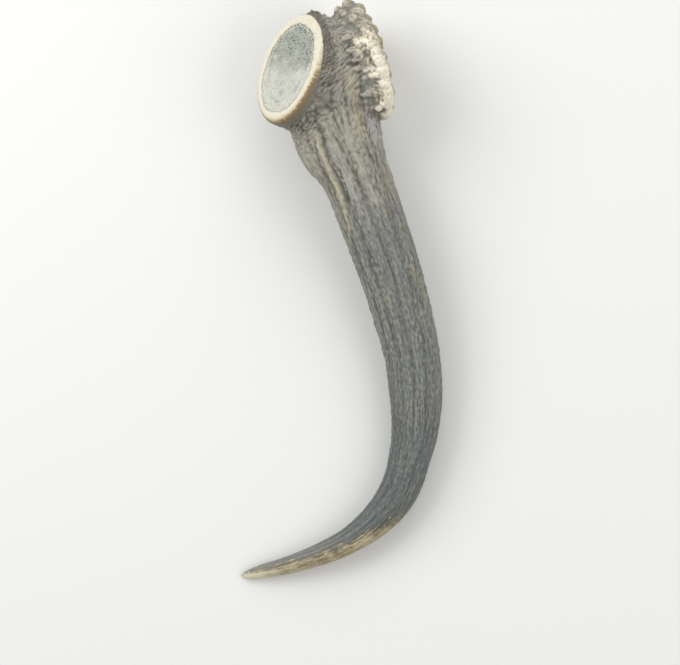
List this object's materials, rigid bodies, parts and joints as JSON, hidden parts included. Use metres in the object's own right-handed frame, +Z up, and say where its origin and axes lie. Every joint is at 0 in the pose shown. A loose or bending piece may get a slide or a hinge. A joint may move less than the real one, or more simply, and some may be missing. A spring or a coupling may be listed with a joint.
{
  "type": "deer antler",
  "caption": "Sawn-off base of a deer antler: knobbly burr and short beam stub with a flat sawn face, and a long ridged brow tine curving to a smooth point. Lies on its side.",
  "frame": {"origin": "on the surface that the antler lies on, under the middle of its outline", "axes": "+Z up from that surface; +Y along the antler's length, from the bend of the tine to the burr; the sawn face and the tip of the tine are towards -X"},
  "size_m": [0.1034, 0.2924, 0.0628],
  "materials": {
    "antler": "matte"
  },
  "bodies": {
    "root": {"beam": "antler", "brow_tine": "antler"}
  },
  "joints": []
}
